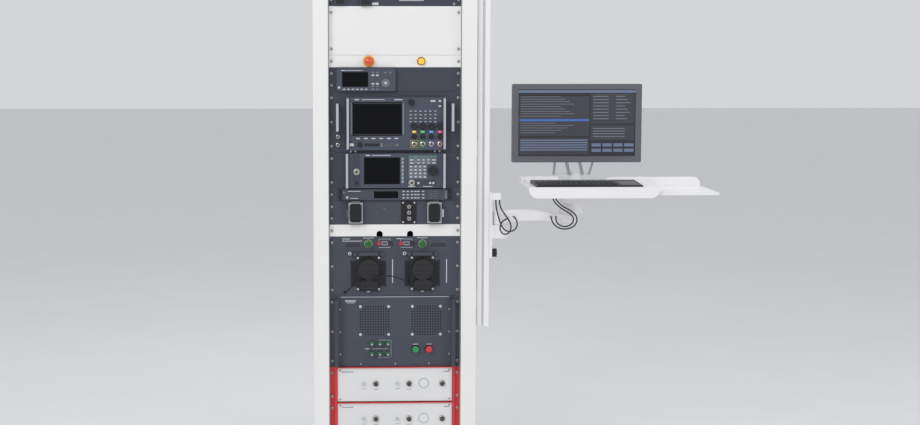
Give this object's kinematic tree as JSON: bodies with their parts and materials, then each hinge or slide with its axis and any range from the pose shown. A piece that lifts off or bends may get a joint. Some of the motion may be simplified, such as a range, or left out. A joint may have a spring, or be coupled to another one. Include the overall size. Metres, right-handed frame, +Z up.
{
  "type": "rack-mounted network analyzer test system",
  "caption": "19-inch cabinet of electronic test instruments with a rear door and a swing-out arm that carries a keyboard tray, mouse tray and monitor.",
  "frame": {"origin": "on the floor under the middle of the cabinet", "axes": "+X to the operator's right, +Y into the cabinet from its front, +Z up"},
  "size_m": [1.47, 1.0645, 2.0004],
  "materials": {
    "amber_lens": "amber lens",
    "arm_paint": "white painted alloy",
    "bezel_plastic": "moulded dark grey plastic",
    "black_steel": "black powder coat",
    "board": "circuit board with tinned cans",
    "cabinet_paint": "white powder coat",
    "cable_rubber": "black jacket",
    "case_alloy": "sheet aluminium",
    "connector_metal": "cast alloy",
    "dark_filler": "dark slate paint",
    "green_lens": "green lens",
    "handle_alloy": "satin aluminium",
    "key_rubber": "moulded rubber keys",
    "knob_plastic": "black plastic",
    "module_paint": "light grey anodised",
    "monitor_plastic": "charcoal plastic",
    "red_lens": "red lens",
    "signal_red": "red powder coat",
    "slate_panel": "slate grey textured paint",
    "stop_red": "glossy red orange",
    "tray_paint": "white painted sheet",
    "white_plastic": "white plastic",
    "zinc": "zinc plated"
  },
  "bodies": {
    "cabinet": {"adapter_panels": "dark_filler", "analyzer_boards": "board", "analyzer_case": "case_alloy", "analyzer_front": "bezel_plastic", "analyzer_keypad": "key_rubber", "base_plate": "black_steel", "base_plinth": "cabinet_paint", "blank_panels": "cabinet_paint", "cabinet_covers": "cabinet_paint", "cabinet_frame": "cabinet_paint", "cable_strip": "cabinet_paint", "charge_inlets": "knob_plastic", "charge_lead": "cable_rubber", "charge_panel": "slate_panel", "connector_panel": "slate_panel", "fan_frames": "knob_plastic", "front_handles": "handle_alloy", "load_panel": "slate_panel", "logger_unit": "bezel_plastic", "mast": "arm_paint", "module_frames": "signal_red", "panel_screws": "black_steel", "power_unit": "dark_filler", "rack_rails": "zinc", "scope_case": "case_alloy", "scope_front": "bezel_plastic", "signal_modules": "module_paint", "source_unit": "slate_panel"},
    "rear_door": {"rear_door": "cabinet_paint"},
    "door_handle": {"door_handle": "black_steel"},
    "stop_plunger": {"stop_plunger": "knob_plastic"},
    "stop_mushroom": {"stop_mushroom": "stop_red"},
    "reset_button": {"reset_button": "amber_lens"},
    "start_button": {"start_button": "green_lens"},
    "halt_button": {"halt_button": "red_lens"},
    "scope_power_button": {"scope_power_button": "white_plastic"},
    "scope_knob": {"scope_knob": "knob_plastic"},
    "channel_knob_1": {"channel_knob_1": "knob_plastic"},
    "channel_knob_2": {"channel_knob_2": "knob_plastic"},
    "channel_knob_3": {"channel_knob_3": "knob_plastic"},
    "channel_knob_4": {"channel_knob_4": "knob_plastic"},
    "analyzer_power_button": {"analyzer_power_button": "knob_plastic"},
    "analyzer_knob": {"analyzer_knob": "knob_plastic"},
    "fan_rotor_left": {"fan_rotor_left": "knob_plastic"},
    "fan_rotor_right": {"fan_rotor_right": "knob_plastic"},
    "lever_left": {"lever_left": "connector_metal"},
    "lever_right": {"lever_right": "connector_metal"},
    "arm_carriage": {"arm_carriage": "arm_paint", "arm_cables_lower": "cable_rubber"},
    "clamp_knob": {"clamp_knob": "knob_plastic"},
    "swing_arm": {"swing_arm": "arm_paint"},
    "arm_head": {"arm_head": "arm_paint", "keyboard_tray": "tray_paint", "keyboard": "knob_plastic", "arm_cables_upper": "cable_rubber"},
    "mouse_tray": {"mouse_tray": "tray_paint"},
    "monitor_links": {"monitor_links": "handle_alloy"},
    "monitor_rods": {"monitor_rods": "handle_alloy"},
    "monitor_bracket": {"monitor_bracket": "handle_alloy"},
    "monitor": {"monitor_housing": "monitor_plastic"}
  },
  "joints": [
    {"name": "door_hinge", "type": "hinge", "parent": "cabinet", "child": "rear_door", "pos_m": [-0.295, 0.4475, 1], "axis": [0, 0, 1], "range_deg": [0, 115]},
    {"name": "handle_turn", "type": "hinge", "parent": "rear_door", "child": "door_handle", "pos_m": [0.26, 0.4475, 1.1], "axis": [0, 1, 0], "range_deg": [0, 90]},
    {"name": "stop_press", "type": "slide", "parent": "cabinet", "child": "stop_plunger", "axis": [0, 1, 0], "range_m": [0, 0.005]},
    {"name": "stop_twist", "type": "hinge", "parent": "stop_plunger", "child": "stop_mushroom", "pos_m": [-0.096, -0.4425, 1.61908], "axis": [0, -1, 0], "range_deg": [0, 45]},
    {"name": "reset_press", "type": "slide", "parent": "cabinet", "child": "reset_button", "axis": [0, 1, 0], "range_m": [0, 0.004], "stiffness_N_per_m": 400},
    {"name": "start_press", "type": "slide", "parent": "cabinet", "child": "start_button", "axis": [0, 1, 0], "range_m": [0, 0.004], "stiffness_N_per_m": 400},
    {"name": "halt_press", "type": "slide", "parent": "cabinet", "child": "halt_button", "axis": [0, 1, 0], "range_m": [0, 0.004], "stiffness_N_per_m": 400},
    {"name": "scope_power_press", "type": "slide", "parent": "cabinet", "child": "scope_power_button", "axis": [0, 1, 0], "range_m": [0, 0.0025], "stiffness_N_per_m": 300},
    {"name": "analyzer_power_press", "type": "slide", "parent": "cabinet", "child": "analyzer_power_button", "axis": [0, 1, 0], "range_m": [0, 0.0025], "stiffness_N_per_m": 300},
    {"name": "scope_knob_turn", "type": "hinge", "parent": "cabinet", "child": "scope_knob", "pos_m": [0.059, -0.4455, 1.4697], "axis": [0, -1, 0], "continuous": true},
    {"name": "channel_knob_turn_1", "type": "hinge", "parent": "cabinet", "child": "channel_knob_1", "pos_m": [0.07, -0.4455, 1.3817], "axis": [0, -1, 0], "continuous": true},
    {"name": "channel_knob_turn_2", "type": "hinge", "parent": "cabinet", "child": "channel_knob_2", "pos_m": [0.1015, -0.4455, 1.3817], "axis": [0, -1, 0], "continuous": true},
    {"name": "channel_knob_turn_3", "type": "hinge", "parent": "cabinet", "child": "channel_knob_3", "pos_m": [0.133, -0.4455, 1.3817], "axis": [0, -1, 0], "continuous": true},
    {"name": "channel_knob_turn_4", "type": "hinge", "parent": "cabinet", "child": "channel_knob_4", "pos_m": [0.1645, -0.4455, 1.3817], "axis": [0, -1, 0], "continuous": true},
    {"name": "analyzer_knob_turn", "type": "hinge", "parent": "cabinet", "child": "analyzer_knob", "pos_m": [0.1395, -0.4475, 1.21835], "axis": [0, -1, 0], "continuous": true},
    {"name": "fan_spin_left", "type": "hinge", "parent": "cabinet", "child": "fan_rotor_left", "pos_m": [-0.0754, -0.4145, 0.6596], "axis": [0, -1, 0], "continuous": true},
    {"name": "fan_spin_right", "type": "hinge", "parent": "cabinet", "child": "fan_rotor_right", "pos_m": [0.1174, -0.4145, 0.6596], "axis": [0, -1, 0], "continuous": true},
    {"name": "lever_turn_left", "type": "hinge", "parent": "cabinet", "child": "lever_left", "pos_m": [-0.171, -0.4435, 1.06345], "axis": [-1, 0, 0], "range_deg": [0, 60]},
    {"name": "lever_turn_right", "type": "hinge", "parent": "cabinet", "child": "lever_right", "pos_m": [0.171, -0.4435, 1.06345], "axis": [-1, 0, 0], "range_deg": [0, 60]},
    {"name": "arm_lift", "type": "slide", "parent": "cabinet", "child": "arm_carriage", "axis": [0, 0, 1], "range_m": [-0.25, 0.3]},
    {"name": "clamp_turn", "type": "hinge", "parent": "arm_carriage", "child": "clamp_knob", "pos_m": [0.36, -0.412, 0.91], "axis": [1, 0, 0], "range_deg": [0, 360]},
    {"name": "arm_swing", "type": "hinge", "parent": "arm_carriage", "child": "swing_arm", "pos_m": [0.3925, -0.412, 1.04], "axis": [0, 0, 1], "range_deg": [-70, 45], "deforming": ["arm_cables_lower"]},
    {"name": "head_turn", "type": "hinge", "parent": "swing_arm", "child": "arm_head", "pos_m": [0.6565, -0.412, 1.07], "axis": [0, 0, 1], "range_deg": [-60, 50], "deforming": ["arm_cables_upper"]},
    {"name": "mouse_tray_slide", "type": "slide", "parent": "arm_head", "child": "mouse_tray", "axis": [1, 0, 0], "range_m": [-0.055, 0]},
    {"name": "links_fold", "type": "hinge", "parent": "arm_head", "child": "monitor_links", "pos_m": [0.6565, -0.273, 1.192], "axis": [1, 0, 0], "range_deg": [-30, 30]},
    {"name": "rods_fold", "type": "hinge", "parent": "arm_head", "child": "monitor_rods", "pos_m": [0.6565, -0.253, 1.192], "axis": [1, 0, 0], "range_deg": [-30, 30]},
    {"name": "bracket_level", "type": "hinge", "parent": "monitor_links", "child": "monitor_bracket", "pos_m": [0.6565, -0.273, 1.254], "axis": [1, 0, 0], "range_deg": [-30, 30]},
    {"name": "screen_tilt", "type": "hinge", "parent": "monitor_bracket", "child": "monitor", "pos_m": [0.665, -0.285, 1.3875], "axis": [1, 0, 0], "range_deg": [-18, 5]}
  ],
  "couplings": [
    {"joint": "rods_fold", "follows": "links_fold", "ratio": 1},
    {"joint": "bracket_level", "follows": "links_fold", "ratio": -1}
  ]
}
